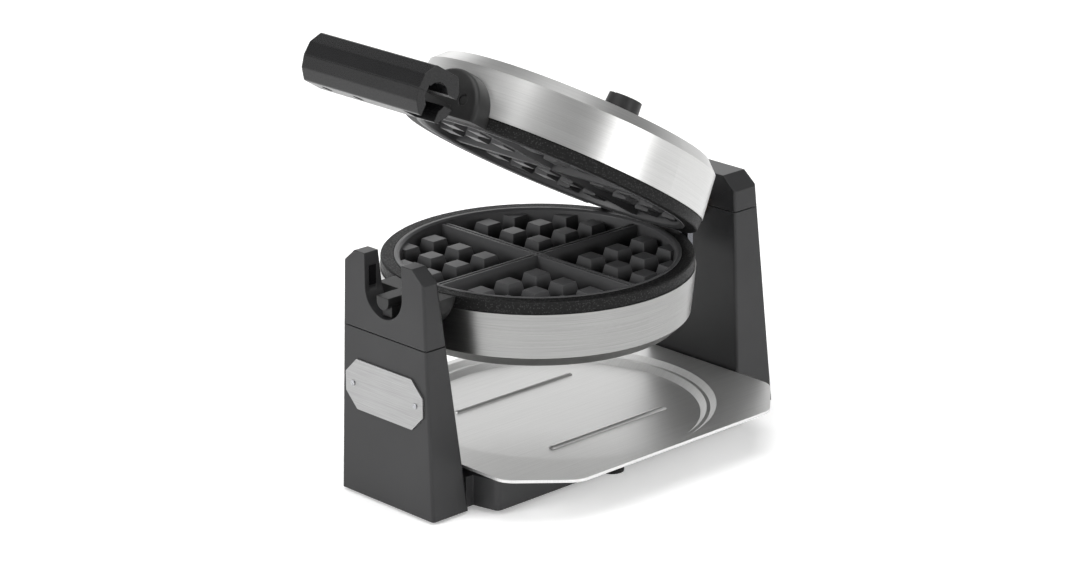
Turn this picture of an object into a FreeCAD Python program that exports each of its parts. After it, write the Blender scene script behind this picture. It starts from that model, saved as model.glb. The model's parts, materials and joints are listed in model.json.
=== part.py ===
import math
import os
import FreeCAD
import Part
from FreeCAD import Vector as V

os.makedirs("parts", exist_ok=True)

# Round pans: lower and lid are mirror images
CAVITY_R = 90.0
LIP_T = 3.7
LIP_RISE = 0.3
BEZEL_W = 8.5
BEZEL_H = 8.0
COVER_LAP = 0.7
COVER_DRAFT = 3.0
WALL_H = 30.0
BEVEL_W = 7.7
BEVEL_H = 7.5
SHEET = 0.8
SHEET_BEND = 0.4
SKIRT_T = 3.0
SKIRT_H = 7.0
RIM_Z = 141.5
PAN_GAP = 1.0

# Waffle grid of both plates
GRID_PITCH = 24.5
CAVITY_DEPTH = 16.0
CAVITY_DRAFT = 2.5
POST_H = 13.0
POST_TOP = 11.5
POST_FOOT = 17.0
RIB_RISE = 1.0
RIB_TOP = 5.0
RIB_FOOT = 9.0
RIB_GROOVE = 1.6
FLOOR_T = 4.5
PLATE_WALL = 1.0
PLATE_FLANGE_T = 3.5
LIP_EASE_W = 1.6
LIP_EASE_H = 1.2
POST_SINK = 0.5
POST_OVER = 2.0
POST_CLEAR = 12.0
BEZEL_EASE = 0.8

# Heater behind each plate
ELEMENT_RING_R = 60.0
ELEMENT_R = 3.5
ELEMENT_SINK = 1.0
ELEMENT_GAP = 20.0
ELEMENT_LEG_R = 3.0
ELEMENT_LEG_H = 7.5
TERMINAL_R = 1.6
TERMINAL_H = 8.5
SHIELD_DROP = 11.0
SHIELD_T = 0.6
SHIELD_RIM_H = 6.0
BOSS_R = 4.5
BOSS_RING_R = 76.0
SHIELD_BOSS_RING_R = 30.0
FUSE_R = 3.0
FUSE_LEN = 22.0
FUSE_LEAD_R = 0.9
FUSE_LEAD = 8.0
FUSE_Y = -14.0
BOSS_COUNT = 3
BOSS_TURN = 30.0
SHIELD_BOSS_TURN = 270.0

# Turning axis of the head, its shaft and bearing
AXIS_RISE = 3.5
SHAFT_R = 6.0
SHAFT_BORE_R = 3.5
SHAFT_SEAT = 3.0
SHAFT_OVER = 18.5
BEARING_PLAY = 0.05
BUSH_T = 4.0
BUSH_LEN = 11.0
BUSH_RIM = 3.0
BUSH_RIM_T = 2.0
CLIP_T = 1.2
CLIP_RIM = 2.6
CLIP_DEPTH = 0.8
CLIP_PLAY = 0.4
CLIP_MOUTH = 5.0
STOP_R = 1.6
STOP_LEN = 8.5
STOP_INSET = 3.0

# Lid hinge and the yoke that carries it
HINGE_INSET = 10.2
HINGE_RISE = 5.0
HINGE_PIN_R = 2.0
HINGE_PIN_HEAD = 1.2
HINGE_PIN_HEAD_T = 1.4
HINGE_PLAY = 0.05
LID_REST_DEG = 32.0
LUG_X = 35.0
LUG_T = 6.0
LUG_R = 4.2
LUG_GAP = 1.1
LUG_DEPTH = 4.8
EAR_T = 5.5
EAR_R = 4.0
EAR_GAP = 0.5
EAR_WEB = 3.6
LEAF_T = 3.0
LEAF_SPAN_DEG = 39.0
LEAF_SCREW_X = 14.0
LEAF_SCREW_Y_INSET = 1.6
YOKE_T = 5.0
YOKE_SPAN_DEG = 50.0
YOKE_LOW = 6.5
YOKE_HIGH = 1.5
YOKE_REACH = 16.3
YOKE_SCREW_DEG = 14.0
NECK_HALF = 13.0
FLANGE_T = 4.5
FLANGE_R = 7.0
SWING_HALF = 25.0
SWING_DEPTH = 2.7
LEAF_GAP = 1.5
HINGE_GAP_PLAY = 2.0
EAR_WAY_INSET = 0.5
EAR_WEB_SHARE = 0.66

# Base and towers
BASE_TOP_Z = 23.8
BASE_FOOT_Z = 3.0
BASE_WALL = 2.8
BASE_HALF = 60.0
BASE_NECK = 41.0
BASE_NOSE = 6.0
BASE_SLANT = 4.0
BASE_CORNER_R = 4.0
COVER_SCREW_X = 44.0
COVER_SCREW_IN = 30.5
BASE_COVER_T = 2.0
VENT_W = 4.0
VENT_PITCH = 12.0
VENT_COUNT = 10
VENT_FIRST_Y = -40.0
VENT_HALF = 25.0
TONGUE_HALF = 35.0
TONGUE_TOP_Z = 14.0
TOWER_FOOT_Z = 2.0
TOWER_WALL = 2.6
TOWER_EDGE_R = 2.0
TOWER_HALF_FOOT = 44.0
TOWER_HALF_TOP = 37.2
TOWER_RISE = 22.0
TOWER_CUT_X = 10.2
TOWER_CUT_Z = 9.0
FRONT_GAP = 19.4
FRONT_DEPTH_TOP = 11.4
FRONT_DEPTH_FOOT = 31.0
FORK_SEAM_Z = 115.0
FORK_PLUG_H = 6.0
FORK_LEDGE = 2.6
FORK_SCREW_X = 24.0
CLAMP_T = 1.6
CLAMP_HALF_Y = 4.0
CLAMP_OVER = 5.0
STRIP_T = 1.2
STRIP_W = 6.0
STRIP_LOW = 7.0
STRIP_H = 20.0
STRIP_INSET = 3.5
REAR_GAP = 22.0
REAR_DEPTH_FOOT = 35.0
REAR_DEPTH_TOP = 21.0
CAP_SEAM_DROP = 2.0
CHEEK_HALF = 20.0
CHEEK_DROP = 23.0
CAP_POST_HALF = 4.0
CAP_POST_DEPTH = 10.5
CAP_POST_DROP = 31.0
CAP_POST_RISE = 13.0
CAP_SCREW_X = 30.0
CAP_SCREW_Y = 6.6
CAP_SCREW_BITE = 7.0
CAP_CUT_DROP = 1.0
BUSH_OVER = 3.0
TOWER_POST_R = 4.2
TOWER_POST_H = 26.0
TOWER_SCREW_X = 18.0
TOWER_SCREW_SINK = 4.0
TIE_HALF = 1.2
FOOT_R = 8.0
FOOT_X = 30.0
MID_FOOT_X = 55.0
MID_FOOT_Y = 14.0
CORD_Z = 26.0
CORD_R = 6.0
CORD_BORE_R = 3.2
CORD_FLANGE = 3.0
CORD_OUT = 5.0
CORD_IN = 6.0
CORD_COLLAR = 0.8
CORD_HOLE = 8.0
BLOCK_HALF = 13.0
BLOCK_DEPTH = 9.0
BLOCK_H = 13.0
BLOCK_BORE_R = 2.2
BLOCK_PITCH = 8.0

# Drip tray
TRAY_HALF_X = 108.5
TRAY_END_GAP = 2.0
TRAY_CUT_X = 33.0
TRAY_CUT_Y = 36.0
TRAY_DEPTH = 6.5
TRAY_T = 1.0
TRAY_LIP_H = 2.0
TRAY_CORNER_R = 16.0
TRAY_RIM_R = 103.5
TRAY_STEP_H = 3.0
TRAY_STEP_W = 4.0
TRAY_LEDGE_W = 2.5
TRAY_SLOPE = 4.0
TRAY_RIB_X = 45.0
TRAY_RIB_LEN = 102.0
TRAY_RIB_R = 3.0
TRAY_RIB_H = 1.6
TRAY_PLAY = 0.2

# Name plate
PLATE_HALF_X = 36.5
PLATE_HALF_Z = 17.0
PLATE_CUT = 10.5
PLATE_T = 1.2
PLATE_Z = 77.5
RIVET_X = 29.5
RIVET_R = 1.2
RIVET_HEAD = 0.7
RIVET_HEAD_T = 0.8

# Handle, hub and trunnion
HUB_R = 28.5
HUB_T = 9.0
HUB_SEAT = 2.8
HUB_EDGE_R = 3.0
HUB_SCREW_X = 14.0
HUB_SCREW_Z = 9.5
HUB_SCREW_LEN = 7.5
TRUNNION_T = 2.0
TRUNNION_PLAY = 0.5
PIN_R = 5.5
PIN_STRAIGHT = 3.0
PIN_SHORT = 1.7
HEEL_HALF = 4.5
HEEL_INSET = 3.0
HEEL_PLAY = 1.1
HANDLE_HALF = 17.0
HANDLE_TOP = 17.5
HANDLE_BOTTOM = 14.5
HANDLE_TOP_HALF = 10.5
HANDLE_BOTTOM_HALF = 8.5
HANDLE_SIDE_UP = 9.0
HANDLE_SIDE_DOWN = 8.0
HANDLE_SIDE_IN = 2.5
HANDLE_SIDE_LEAN = 0.5
HANDLE_INNER = 34.0
HANDLE_OUTER = 74.0
HANDLE_WALL = 2.6
HANDLE_EDGE_R = 2.5
HANDLE_BORE_R = 9.3
HANDLE_BORE_DEPTH = 22.0
HANDLE_GAP = 2.5
HANDLE_SOLID = 15.0
HANDLE_PILLAR_R = 5.2
HANDLE_SCREW_A = 30.0
HANDLE_SCREW_B = 60.0
HANDLE_SCREW_SINK = 9.0
HANDLE_PILLAR_INSET = 1.0
HEEL_SLOT_OVER = 2.0
SLOT_PLAY = 0.4
EYE_R = 9.0
PIVOT_R = 3.0
PIVOT_PLAY = 0.05
PIVOT_DOWN = 11.5
PIVOT_UP = 14.5
BAR_HALF = 6.0
BAR_T = 6.0
BAR_RISE = 0.4
SWEEP_PLAY = 0.5

# Controls on the lid
KNOB_Y = 39.5
KNOB_R = 13.0
KNOB_TAPER = 1.5
KNOB_H = 21.2
KNOB_GAP = 0.6
KNOB_SKIRT = 1.0
KNOB_SKIRT_H = 2.5
KNOB_FLUTES = 18
KNOB_FLUTE_R = 1.5
KNOB_MARK = 1.6
SPINDLE_R = 3.0
SPINDLE_H = 10.0
SPINDLE_PLAY = 0.05
THERMOSTAT_R = 11.0
THERMOSTAT_H = 12.0
THERMOSTAT_GAP = 2.0
SPINDLE_GAP = 1.0
SPINDLE_ROOT = 1.0
LIGHT_R = 4.0
LIGHT_X = 24.0
LIGHT_RIM = 1.2
LIGHT_DEEP = 8.0
LIGHT_RIM_T = 1.0
LIGHT_STEP = 0.5
LIGHT_DOME_SINK = 0.6

# Screws and common clearances
SCREW_R = 1.8
SCREW_HEAD_R = 3.4
SCREW_HEAD_H = 2.2
SCREW_TIP_GAP = 2.0
BASE_SCREW_LEN = 9.0
TOWER_SCREW_LEN = 20.0
FORK_SCREW_LEN = 9.0
FORK_SCREW_BITE = 4.0
SHIELD_SCREW_LEN = 8.0
COVER_SCREW_LEN = 12.0
HANDLE_SCREW_LEN = 16.0
HANDLE_SCREW_BITE = 8.0
LEAF_SCREW_BITE = 2.0
LEAF_HOLE = 3.0
YOKE_SCREW_START = 3.0
HOLE_PLAY = 0.2
FIT = 0.3
FAR = 500.0

# Places that follow from the sizes above
LIP_R = CAVITY_R + LIP_T
BEZEL_IN_R = LIP_R + FIT
BEZEL_R = BEZEL_IN_R + BEZEL_W
COVER_TOP_R = BEZEL_R + COVER_LAP
COVER_BASE_R = COVER_TOP_R - COVER_DRAFT
COVER_FLAT_R = COVER_BASE_R - BEVEL_W
SKIRT_R = COVER_TOP_R - SHEET - COVER_DRAFT * SKIRT_H / WALL_H - 2 * FIT
PLATE_FLANGE_R = SKIRT_R - SKIRT_T - FIT
LID_Z = RIM_Z + PAN_GAP
MIRROR_Z = (RIM_Z + LID_Z) / 2
BEZEL_Z = RIM_Z - BEZEL_H
WALL_Z = BEZEL_Z - WALL_H
PAN_Z = WALL_Z - BEVEL_H
LID_TOP_Z = 2 * MIRROR_Z - PAN_Z
FLOOR_Z = RIM_Z - CAVITY_DEPTH
PLATE_BACK_Z = FLOOR_Z - FLOOR_T
FLANGE_LOW_Z = BEZEL_Z - PLATE_FLANGE_T
SHIELD_Z = PLATE_BACK_Z - SHIELD_DROP
ELEMENT_Z = PLATE_BACK_Z - ELEMENT_SINK
ELEMENT_LEG_X = ELEMENT_GAP / 2 + ELEMENT_R
ELEMENT_LEG_Y = math.sqrt(ELEMENT_RING_R ** 2 - ELEMENT_LEG_X ** 2)
AXIS_Z = RIM_Z + AXIS_RISE
HINGE_Y = COVER_TOP_R - HINGE_INSET
HINGE_Z = LID_Z + HINGE_RISE
LUG_Y = math.sqrt(COVER_TOP_R ** 2 - LUG_X ** 2) + LUG_GAP
LUG_END_X = LUG_X + LUG_T
FLANGE_Y = COVER_TOP_R + YOKE_REACH
YOKE_LOW_Z = WALL_Z + YOKE_LOW
YOKE_TOP_Z = BEZEL_Z - YOKE_HIGH
YOKE_SCREW_Z = (YOKE_LOW_Z + YOKE_TOP_Z) / 2
LEAF_Z = 2 * MIRROR_Z - FLANGE_LOW_Z
LEAF_SCREW_Y = math.sqrt(PLATE_FLANGE_R ** 2 - LEAF_SCREW_X ** 2) - LEAF_SCREW_Y_INSET
TOWER_TOP_Z = AXIS_Z + TOWER_RISE
FRONT_IN_TOP_Y = -COVER_TOP_R - FRONT_GAP
FRONT_Y = FRONT_IN_TOP_Y - FRONT_DEPTH_TOP
FRONT_IN_FOOT_Y = FRONT_Y + FRONT_DEPTH_FOOT
REAR_IN_Y = FLANGE_Y + FLANGE_T + REAR_GAP
REAR_OUT_FOOT_Y = REAR_IN_Y + REAR_DEPTH_FOOT
REAR_OUT_TOP_Y = REAR_IN_Y + REAR_DEPTH_TOP
CAP_SEAM_Z = AXIS_Z - CAP_SEAM_DROP
BUSH_R = SHAFT_R + BUSH_T
BUSH_END_Y = REAR_IN_Y + BUSH_LEN
CLIP_Y = BUSH_END_Y + CLIP_PLAY
SHAFT_END_Y = REAR_IN_Y + SHAFT_OVER
HUB_FRONT_Y = -COVER_TOP_R - HUB_T
HUB_SEAT_Y = -COVER_TOP_R - HUB_SEAT
TRUNNION_Y = HUB_FRONT_Y - TRUNNION_T
HUB_SCREW_AT_Z = AXIS_Z + HUB_SCREW_Z
BAR_LOW_Z = LID_Z + BAR_RISE
BAR_TOP_Z = BAR_LOW_Z + BAR_T
TRUNNION_TOP_Z = BAR_LOW_Z - TRUNNION_PLAY
HANDLE_Y = FRONT_Y - HANDLE_GAP - HANDLE_HALF
PIN_END_Y = HANDLE_Y + HANDLE_HALF + PIN_SHORT
HEEL_END_Y = FRONT_Y + HEEL_INSET
SLOT_HALF = HANDLE_HALF + SLOT_PLAY
TRAY_FRONT_Y = FRONT_IN_FOOT_Y
TRAY_BACK_Y = REAR_IN_Y - TRAY_END_GAP
TRAY_MID_Y = (TRAY_FRONT_Y + TRAY_BACK_Y) / 2
TRAY_FLOOR_Z = BASE_TOP_Z + TRAY_PLAY + TRAY_T
TRAY_RIM_Z = TRAY_FLOOR_Z + TRAY_DEPTH
FRONT_MID_Y = FRONT_Y + FRONT_DEPTH_FOOT / 2
REAR_MID_Y = REAR_IN_Y + REAR_DEPTH_FOOT / 2


# Tower outlines as functions of height
def tower_half(z):
    return TOWER_HALF_FOOT + (TOWER_HALF_TOP - TOWER_HALF_FOOT) * z / TOWER_TOP_Z


def front_in(z):
    return FRONT_IN_FOOT_Y + (FRONT_IN_TOP_Y - FRONT_IN_FOOT_Y) * z / TOWER_TOP_Z


def rear_out(z):
    return REAR_OUT_FOOT_Y + (REAR_OUT_TOP_Y - REAR_OUT_FOOT_Y) * z / TOWER_TOP_Z


# The origin lies midway between the foremost rivet heads and the cord bush
CORD_BACK_Y = rear_out(CORD_Z)
ORIGIN_Y = (FRONT_Y - PLATE_T - RIVET_HEAD_T + CORD_BACK_Y + CORD_OUT) / 2


def box(x0, x1, y0, y1, z0, z1):
    return Part.makeBox(x1 - x0, y1 - y0, z1 - z0, V(x0, y0, z0))


def rod(axis, r, start, end, u, w):
    if axis == "x":
        return Part.makeCylinder(r, end - start, V(start, u, w), V(1, 0, 0))
    if axis == "y":
        return Part.makeCylinder(r, end - start, V(u, start, w), V(0, 1, 0))
    return Part.makeCylinder(r, end - start, V(u, w, start), V(0, 0, 1))


def radial(r, near, far, angle, z):
    out = V(math.sin(math.radians(angle)), math.cos(math.radians(angle)), 0)
    return Part.makeCylinder(r, far - near, out * near + V(0, 0, z), out)


def turned(points, angle=360.0, start=0.0):
    wire = Part.makePolygon([V(r, 0, z) for r, z in points + points[:1]])
    solid = Part.Face(wire).revolve(V(0, 0, 0), V(0, 0, 1), angle)
    solid.rotate(V(0, 0, 0), V(0, 0, 1), start)
    return solid


def prism(points, direction):
    return Part.Face(Part.makePolygon(points + points[:1])).extrude(direction)


def frustum(low, high):
    return Part.makeLoft([Part.makePolygon(low + low[:1]), Part.makePolygon(high + high[:1])], True, True)


def slab(half0, y00, y01, z0, half1, y10, y11, z1):
    low = [V(-half0, y00, z0), V(half0, y00, z0), V(half0, y01, z0), V(-half0, y01, z0)]
    high = [V(-half1, y10, z1), V(half1, y10, z1), V(half1, y11, z1), V(-half1, y11, z1)]
    return frustum(low, high)


def fuse(shapes):
    return shapes[0].multiFuse(shapes[1:]).removeSplitter()


def cut(shape, tools):
    return shape.cut(Part.makeCompound(tools))


def both(shape):
    return [shape, shape.mirror(V(0, 0, 0), V(1, 0, 0))]


def around(shape, count, start):
    out = []
    for i in range(count):
        copy = shape.copy()
        copy.rotate(V(0, 0, 0), V(0, 0, 1), start + i * 360.0 / count)
        out.append(copy)
    return out


def flipped(shape):
    return shape.mirror(V(0, 0, MIRROR_Z), V(0, 0, 1))


def placed(shape, x, y, z):
    copy = shape.copy()
    copy.translate(V(x, y, z))
    return copy


def screw(length, tilt=0.0):
    head = rod("z", SCREW_HEAD_R, -SCREW_HEAD_H, 0, 0, 0)
    body = fuse([head, rod("z", SCREW_R, -SCREW_HEAD_H / 2, length, 0, 0)])
    body.rotate(V(0, 0, 0), V(1, 0, 0), tilt)
    return body


def save(name, shape):
    placed(shape, 0, -ORIGIN_Y, 0).exportStep("parts/" + name + ".step")


def save_lid(name, shape):
    tilted = shape.copy()
    tilted.rotate(V(0, HINGE_Y, HINGE_Z), V(1, 0, 0), -LID_REST_DEG)
    save(name, tilted)


def front_slab(z0, z1, inset=0.0):
    return slab(tower_half(z0) - inset, FRONT_Y + inset, front_in(z0) - inset, z0,
                tower_half(z1) - inset, FRONT_Y + inset, front_in(z1) - inset, z1)


def rear_slab(z0, z1, inset=0.0):
    return slab(tower_half(z0) - inset, REAR_IN_Y + inset, rear_out(z0) - inset, z0,
                tower_half(z1) - inset, REAR_IN_Y + inset, rear_out(z1) - inset, z1)


def upright_edges(shape):
    height = shape.BoundBox.ZLength
    return [e for e in shape.Edges if e.BoundBox.ZLength > 0.9 * height]


def rounded(shape):
    return shape.makeFillet(TOWER_EDGE_R, upright_edges(shape))


def corner_cuts(drop):
    out = TOWER_HALF_FOOT
    inner = TOWER_HALF_TOP - TOWER_CUT_X
    top = TOWER_TOP_Z - drop
    low = top - TOWER_CUT_Z * (out - inner) / TOWER_CUT_X
    above = TOWER_TOP_Z + FIT
    wedge = [V(inner, -FAR, top), V(inner, -FAR, above), V(out, -FAR, above), V(out, -FAR, low)]
    return both(prism(wedge, V(0, 2 * FAR, 0)))


# Base: rail under the tray with a tongue into each tower
FEET = [(s * x, y) for x, y in ((FOOT_X, FRONT_MID_Y), (MID_FOOT_X, MID_FOOT_Y), (FOOT_X, REAR_MID_Y))
        for s in (-1, 1)]
TOWER_SCREWS = [(s * TOWER_SCREW_X, y) for y in (FRONT_MID_Y, REAR_MID_Y) for s in (-1, 1)]
COVER_SCREWS = [(s * COVER_SCREW_X, y) for s in (-1, 1)
                for y in (FRONT_IN_FOOT_Y + COVER_SCREW_IN, REAR_IN_Y - COVER_SCREW_IN)]
TOWER_SCREW_Z = BASE_FOOT_Z + TOWER_SCREW_SINK
COVER_TOP_Z = BASE_FOOT_Z + BASE_COVER_T


def base_outline(inset, z0, z1):
    front, back = FRONT_IN_FOOT_Y + inset, REAR_IN_Y - inset
    half = [(BASE_NECK, front), (BASE_NECK, front + BASE_NOSE), (BASE_HALF, front + BASE_NOSE + BASE_SLANT),
            (BASE_HALF, back - BASE_NOSE - BASE_SLANT), (BASE_NECK, back - BASE_NOSE), (BASE_NECK, back - FIT)]
    right = [V(x - inset, y, z0) for x, y in half]
    left = [V(inset - x, y, z0) for x, y in reversed(half)]
    return prism(right + left, V(0, 0, z1 - z0))


rail = base_outline(0, BASE_FOOT_Z, BASE_TOP_Z)
outer_corners = [e for e in upright_edges(rail) if abs(e.CenterOfMass.x) > BASE_NECK + FIT]
rail = rail.makeFillet(BASE_CORNER_R, outer_corners)
rail = rail.cut(base_outline(BASE_WALL, BASE_FOOT_Z, BASE_TOP_Z - BASE_WALL))
front_tongue = box(-TONGUE_HALF, TONGUE_HALF, FRONT_Y + TOWER_WALL + FIT, FRONT_IN_FOOT_Y + BASE_WALL,
                   BASE_FOOT_Z, TONGUE_TOP_Z)
rear_tongue = box(-TONGUE_HALF, TONGUE_HALF, REAR_IN_Y - BASE_WALL - FIT,
                  rear_out(TONGUE_TOP_Z) - TOWER_WALL - FIT, BASE_FOOT_Z, TONGUE_TOP_Z)
bosses = [rod("z", BOSS_R, COVER_TOP_Z, BASE_TOP_Z - BASE_WALL / 2, x, y) for x, y in COVER_SCREWS]
rail = fuse([rail, front_tongue, rear_tongue] + bosses)
holes = [rod("z", SCREW_R, COVER_TOP_Z, COVER_TOP_Z + BASE_SCREW_LEN, x, y) for x, y in COVER_SCREWS]
holes += [rod("z", SCREW_R + HOLE_PLAY, 0, TONGUE_TOP_Z, x, y) for x, y in TOWER_SCREWS]
holes += [rod("z", SCREW_HEAD_R + FIT, 0, TOWER_SCREW_Z, x, y) for x, y in TOWER_SCREWS]
save("base_rail", cut(rail, holes))

under = base_outline(BASE_WALL + FIT, BASE_FOOT_Z, COVER_TOP_Z)
vent_ys = [VENT_FIRST_Y + i * VENT_PITCH for i in range(VENT_COUNT)]
vents = [box(-VENT_HALF, VENT_HALF, y, y + VENT_W, 0, BASE_TOP_Z) for y in vent_ys]
cover_holes = [rod("z", SCREW_R + HOLE_PLAY, 0, BASE_TOP_Z, x, y) for x, y in COVER_SCREWS]
save("base_bottom_cover", cut(under, vents + cover_holes))
base_screws = [placed(screw(BASE_SCREW_LEN), x, y, BASE_FOOT_Z) for x, y in COVER_SCREWS]
save("base_cover_screws", Part.makeCompound(base_screws))
save("rubber_feet", Part.makeCompound([rod("z", FOOT_R, 0, BASE_FOOT_Z, x, y) for x, y in FEET]))
tower_screws = [placed(screw(TOWER_SCREW_LEN), x, y, TOWER_SCREW_Z) for x, y in TOWER_SCREWS]
save("tower_screws", Part.makeCompound(tower_screws))

# Front tower: hollow lower shell
LEDGE = TOWER_WALL + FORK_LEDGE
POST_TOP_Z = TONGUE_TOP_Z + TOWER_POST_H
TOWER_HOLE_Z = TOWER_SCREW_Z + TOWER_SCREW_LEN + SCREW_TIP_GAP
front_screws = [(x, y) for x, y in TOWER_SCREWS if y < 0]
shell = rounded(front_slab(TOWER_FOOT_Z, FORK_SEAM_Z))
shell = shell.cut(front_slab(TOWER_FOOT_Z, FORK_SEAM_Z, TOWER_WALL))
ledge = front_slab(FORK_SEAM_Z - FORK_LEDGE, FORK_SEAM_Z, TOWER_WALL).cut(
    front_slab(FORK_SEAM_Z - FORK_LEDGE, FORK_SEAM_Z, LEDGE))
posts = [rod("z", TOWER_POST_R, TONGUE_TOP_Z, POST_TOP_Z, x, y) for x, y in front_screws]
ties = [box(x - TIE_HALF, x + TIE_HALF, FRONT_Y + TOWER_WALL / 2, y, TONGUE_TOP_Z, POST_TOP_Z)
        for x, y in front_screws]
shell = fuse([shell, ledge] + posts + ties)
tools = [box(-TONGUE_HALF - FIT, TONGUE_HALF + FIT, FRONT_Y + TOWER_WALL, 0, 0, TONGUE_TOP_Z)]
tools += [rod("z", SCREW_R, 0, TOWER_HOLE_Z, x, y) for x, y in front_screws]
rivet_ways = both(rod("y", RIVET_R, FRONT_Y - FIT - PLATE_T, FRONT_Y + TOWER_WALL, RIVET_X, PLATE_Z))
save("front_tower_shell", cut(shell, tools + rivet_ways))

# Front tower: fork with the round-bottomed slot, wear strip and clamp bar
PLUG_Z = FORK_SEAM_Z - FORK_PLUG_H
CLAMP_Z = PLUG_Z - CLAMP_T
FORK_SCREW_Y = (FRONT_Y + front_in(FORK_SEAM_Z)) / 2
fork = fuse([rounded(front_slab(FORK_SEAM_Z, TOWER_TOP_Z)), front_slab(PLUG_Z, FORK_SEAM_Z, LEDGE + FIT)])
slot = [box(-SLOT_HALF, SLOT_HALF, -FAR, 0, AXIS_Z, FAR), rod("y", SLOT_HALF, -FAR, 0, 0, AXIS_Z)]
strip = box(SLOT_HALF, SLOT_HALF + STRIP_T, FRONT_Y + STRIP_INSET, FRONT_Y + STRIP_INSET + STRIP_W,
            AXIS_Z - STRIP_LOW, AXIS_Z - STRIP_LOW + STRIP_H)
screw_ways = both(rod("z", SCREW_R, PLUG_Z, FORK_SEAM_Z + FORK_SCREW_BITE, FORK_SCREW_X, FORK_SCREW_Y))
save("front_tower_fork", cut(fork, slot + corner_cuts(0) + both(strip) + screw_ways))
save("slot_wear_strips", Part.makeCompound(both(strip)))
clamp_half_x = FORK_SCREW_X + CLAMP_OVER
clamp = box(-clamp_half_x, clamp_half_x, FORK_SCREW_Y - CLAMP_HALF_Y, FORK_SCREW_Y + CLAMP_HALF_Y,
            CLAMP_Z, PLUG_Z)
clamp_holes = both(rod("z", SCREW_R + HOLE_PLAY, CLAMP_Z, PLUG_Z, FORK_SCREW_X, FORK_SCREW_Y))
save("fork_clamp_bar", cut(clamp, clamp_holes))
fork_screw = placed(screw(FORK_SCREW_LEN), FORK_SCREW_X, FORK_SCREW_Y, CLAMP_Z)
save("fork_screws", Part.makeCompound(both(fork_screw)))

# Bare name plate on two rivets
flat_x = PLATE_HALF_X - PLATE_CUT
flat_z = PLATE_HALF_Z - PLATE_CUT
octagon = [(PLATE_HALF_X, flat_z), (flat_x, PLATE_HALF_Z), (-flat_x, PLATE_HALF_Z), (-PLATE_HALF_X, flat_z),
           (-PLATE_HALF_X, -flat_z), (-flat_x, -PLATE_HALF_Z), (flat_x, -PLATE_HALF_Z), (PLATE_HALF_X, -flat_z)]
name_plate = prism([V(x, FRONT_Y, PLATE_Z + z) for x, z in octagon], V(0, -PLATE_T, 0))
save("name_plate", cut(name_plate, rivet_ways))
plate_face = FRONT_Y - PLATE_T
rivet = fuse([rod("y", RIVET_R, plate_face, FRONT_Y + TOWER_WALL, RIVET_X, PLATE_Z),
              rod("y", RIVET_R + RIVET_HEAD, plate_face - RIVET_HEAD_T, plate_face, RIVET_X, PLATE_Z)])
save("name_plate_rivets", Part.makeCompound(both(rivet)))

# Rear tower: shell with the lower half of the bearing seat
rear_screws = [(x, y) for x, y in TOWER_SCREWS if y > 0]
WALL_Y = REAR_IN_Y + TOWER_WALL / 2
CHEEK_Y = BUSH_END_Y - BUSH_OVER
CAP_POST_Y = REAR_IN_Y + CAP_POST_DEPTH
CAP_AT_Y = REAR_IN_Y + CAP_SCREW_Y
CAP_LOW_Z = CAP_SEAM_Z - CAP_POST_DROP
shell = rounded(rear_slab(TOWER_FOOT_Z, CAP_SEAM_Z)).cut(rear_slab(TOWER_FOOT_Z, CAP_SEAM_Z, TOWER_WALL))
posts = [rod("z", TOWER_POST_R, TONGUE_TOP_Z, POST_TOP_Z, x, y) for x, y in rear_screws]
ties = [box(x - TIE_HALF, x + TIE_HALF, WALL_Y, y, TONGUE_TOP_Z, POST_TOP_Z) for x, y in rear_screws]
cheek = box(-CHEEK_HALF, CHEEK_HALF, WALL_Y, CHEEK_Y, CAP_SEAM_Z - CHEEK_DROP, CAP_SEAM_Z)
cap_post = box(CAP_SCREW_X - CAP_POST_HALF, CAP_SCREW_X + CAP_POST_HALF, WALL_Y, CAP_POST_Y,
               CAP_LOW_Z, CAP_SEAM_Z)
shell = fuse([shell, cheek] + posts + ties + both(cap_post))
bush_way = rod("y", BUSH_R, REAR_IN_Y - FIT, BUSH_END_Y, 0, AXIS_Z)
tongue_end = rear_out(TONGUE_TOP_Z) - TOWER_WALL
tools = [box(-TONGUE_HALF - FIT, TONGUE_HALF + FIT, 0, tongue_end, 0, TONGUE_TOP_Z)]
tools += [rod("z", SCREW_R, 0, TOWER_HOLE_Z, x, y) for x, y in rear_screws]
tools += [bush_way, rod("y", CORD_R, CORD_BACK_Y - CORD_HOLE, CORD_BACK_Y + CORD_HOLE, 0, CORD_Z)]
tools += both(rod("z", SCREW_R + HOLE_PLAY, CAP_LOW_Z, CAP_SEAM_Z, CAP_SCREW_X, CAP_AT_Y))
save("rear_tower_shell", cut(shell, tools))

# Rear tower: cap with the upper half of the bearing seat
cap = rounded(rear_slab(CAP_SEAM_Z, TOWER_TOP_Z))
cap_room = rear_slab(CAP_SEAM_Z, TOWER_TOP_Z - TOWER_WALL, TOWER_WALL)
cap = cap.cut(cut(cap_room, corner_cuts(TOWER_WALL + CAP_CUT_DROP)))
top_cheek = box(-CHEEK_HALF, CHEEK_HALF, WALL_Y, CHEEK_Y, CAP_SEAM_Z, TOWER_TOP_Z - TOWER_WALL / 2)
top_post = box(CAP_SCREW_X - CAP_POST_HALF, CAP_SCREW_X + CAP_POST_HALF, WALL_Y, CAP_POST_Y,
               CAP_SEAM_Z, CAP_SEAM_Z + CAP_POST_RISE)
cap = fuse([cap, top_cheek] + both(top_post))
blind = both(rod("z", SCREW_R, CAP_SEAM_Z, CAP_SEAM_Z + CAP_SCREW_BITE + SCREW_TIP_GAP, CAP_SCREW_X, CAP_AT_Y))
save("rear_tower_cap", cut(cap, corner_cuts(0) + blind + [bush_way]))
cap_screw = placed(screw(CAP_POST_DROP + CAP_SCREW_BITE), CAP_SCREW_X, CAP_AT_Y, CAP_LOW_Z)
save("cap_screws", Part.makeCompound(both(cap_screw)))

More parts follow.
